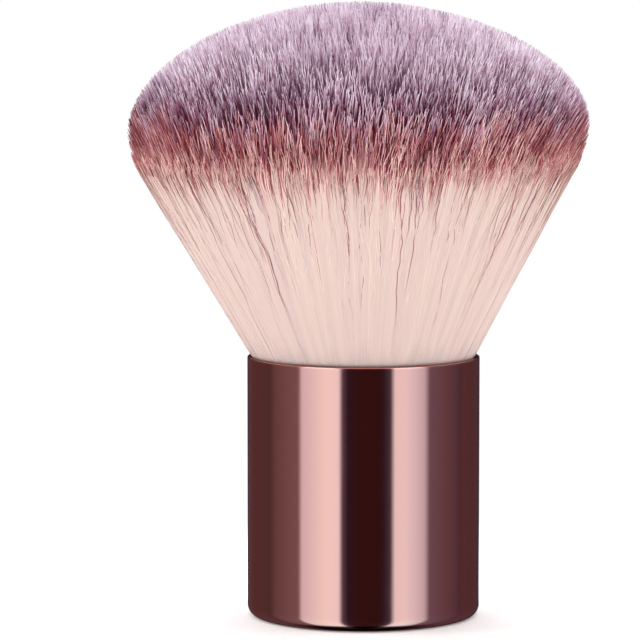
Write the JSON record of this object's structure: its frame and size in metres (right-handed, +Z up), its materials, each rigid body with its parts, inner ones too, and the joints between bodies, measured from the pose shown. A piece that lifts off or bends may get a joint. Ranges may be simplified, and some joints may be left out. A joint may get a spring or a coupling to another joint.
{
  "type": "powder brush",
  "caption": "Short free-standing powder brush: a flared, domed head of three-tone synthetic fibre in a round metal handle shell with a rolled base.",
  "frame": {"origin": "centre of the base, on the surface that the brush stands on", "axes": "+Z up along the brush's axis, from the base to the top of the bristle head; the brush is round, so X and Y are free, with -Y towards the viewer of the picture"},
  "size_m": [0.0687, 0.0686, 0.0926],
  "materials": {
    "shell": "polished",
    "adhesive": "satin",
    "weight": "satin",
    "insert": "satin",
    "cup": "satin",
    "resin": "gloss",
    "thread": "matte",
    "bristles": "matte"
  },
  "bodies": {
    "root": {"handle_shell": "shell", "glue_bed": "adhesive", "weight_slug": "weight", "core_insert": "insert", "bristle_cup": "cup", "resin_plug": "resin", "binding_thread": "thread", "bristle_tuft": "bristles"}
  },
  "joints": []
}
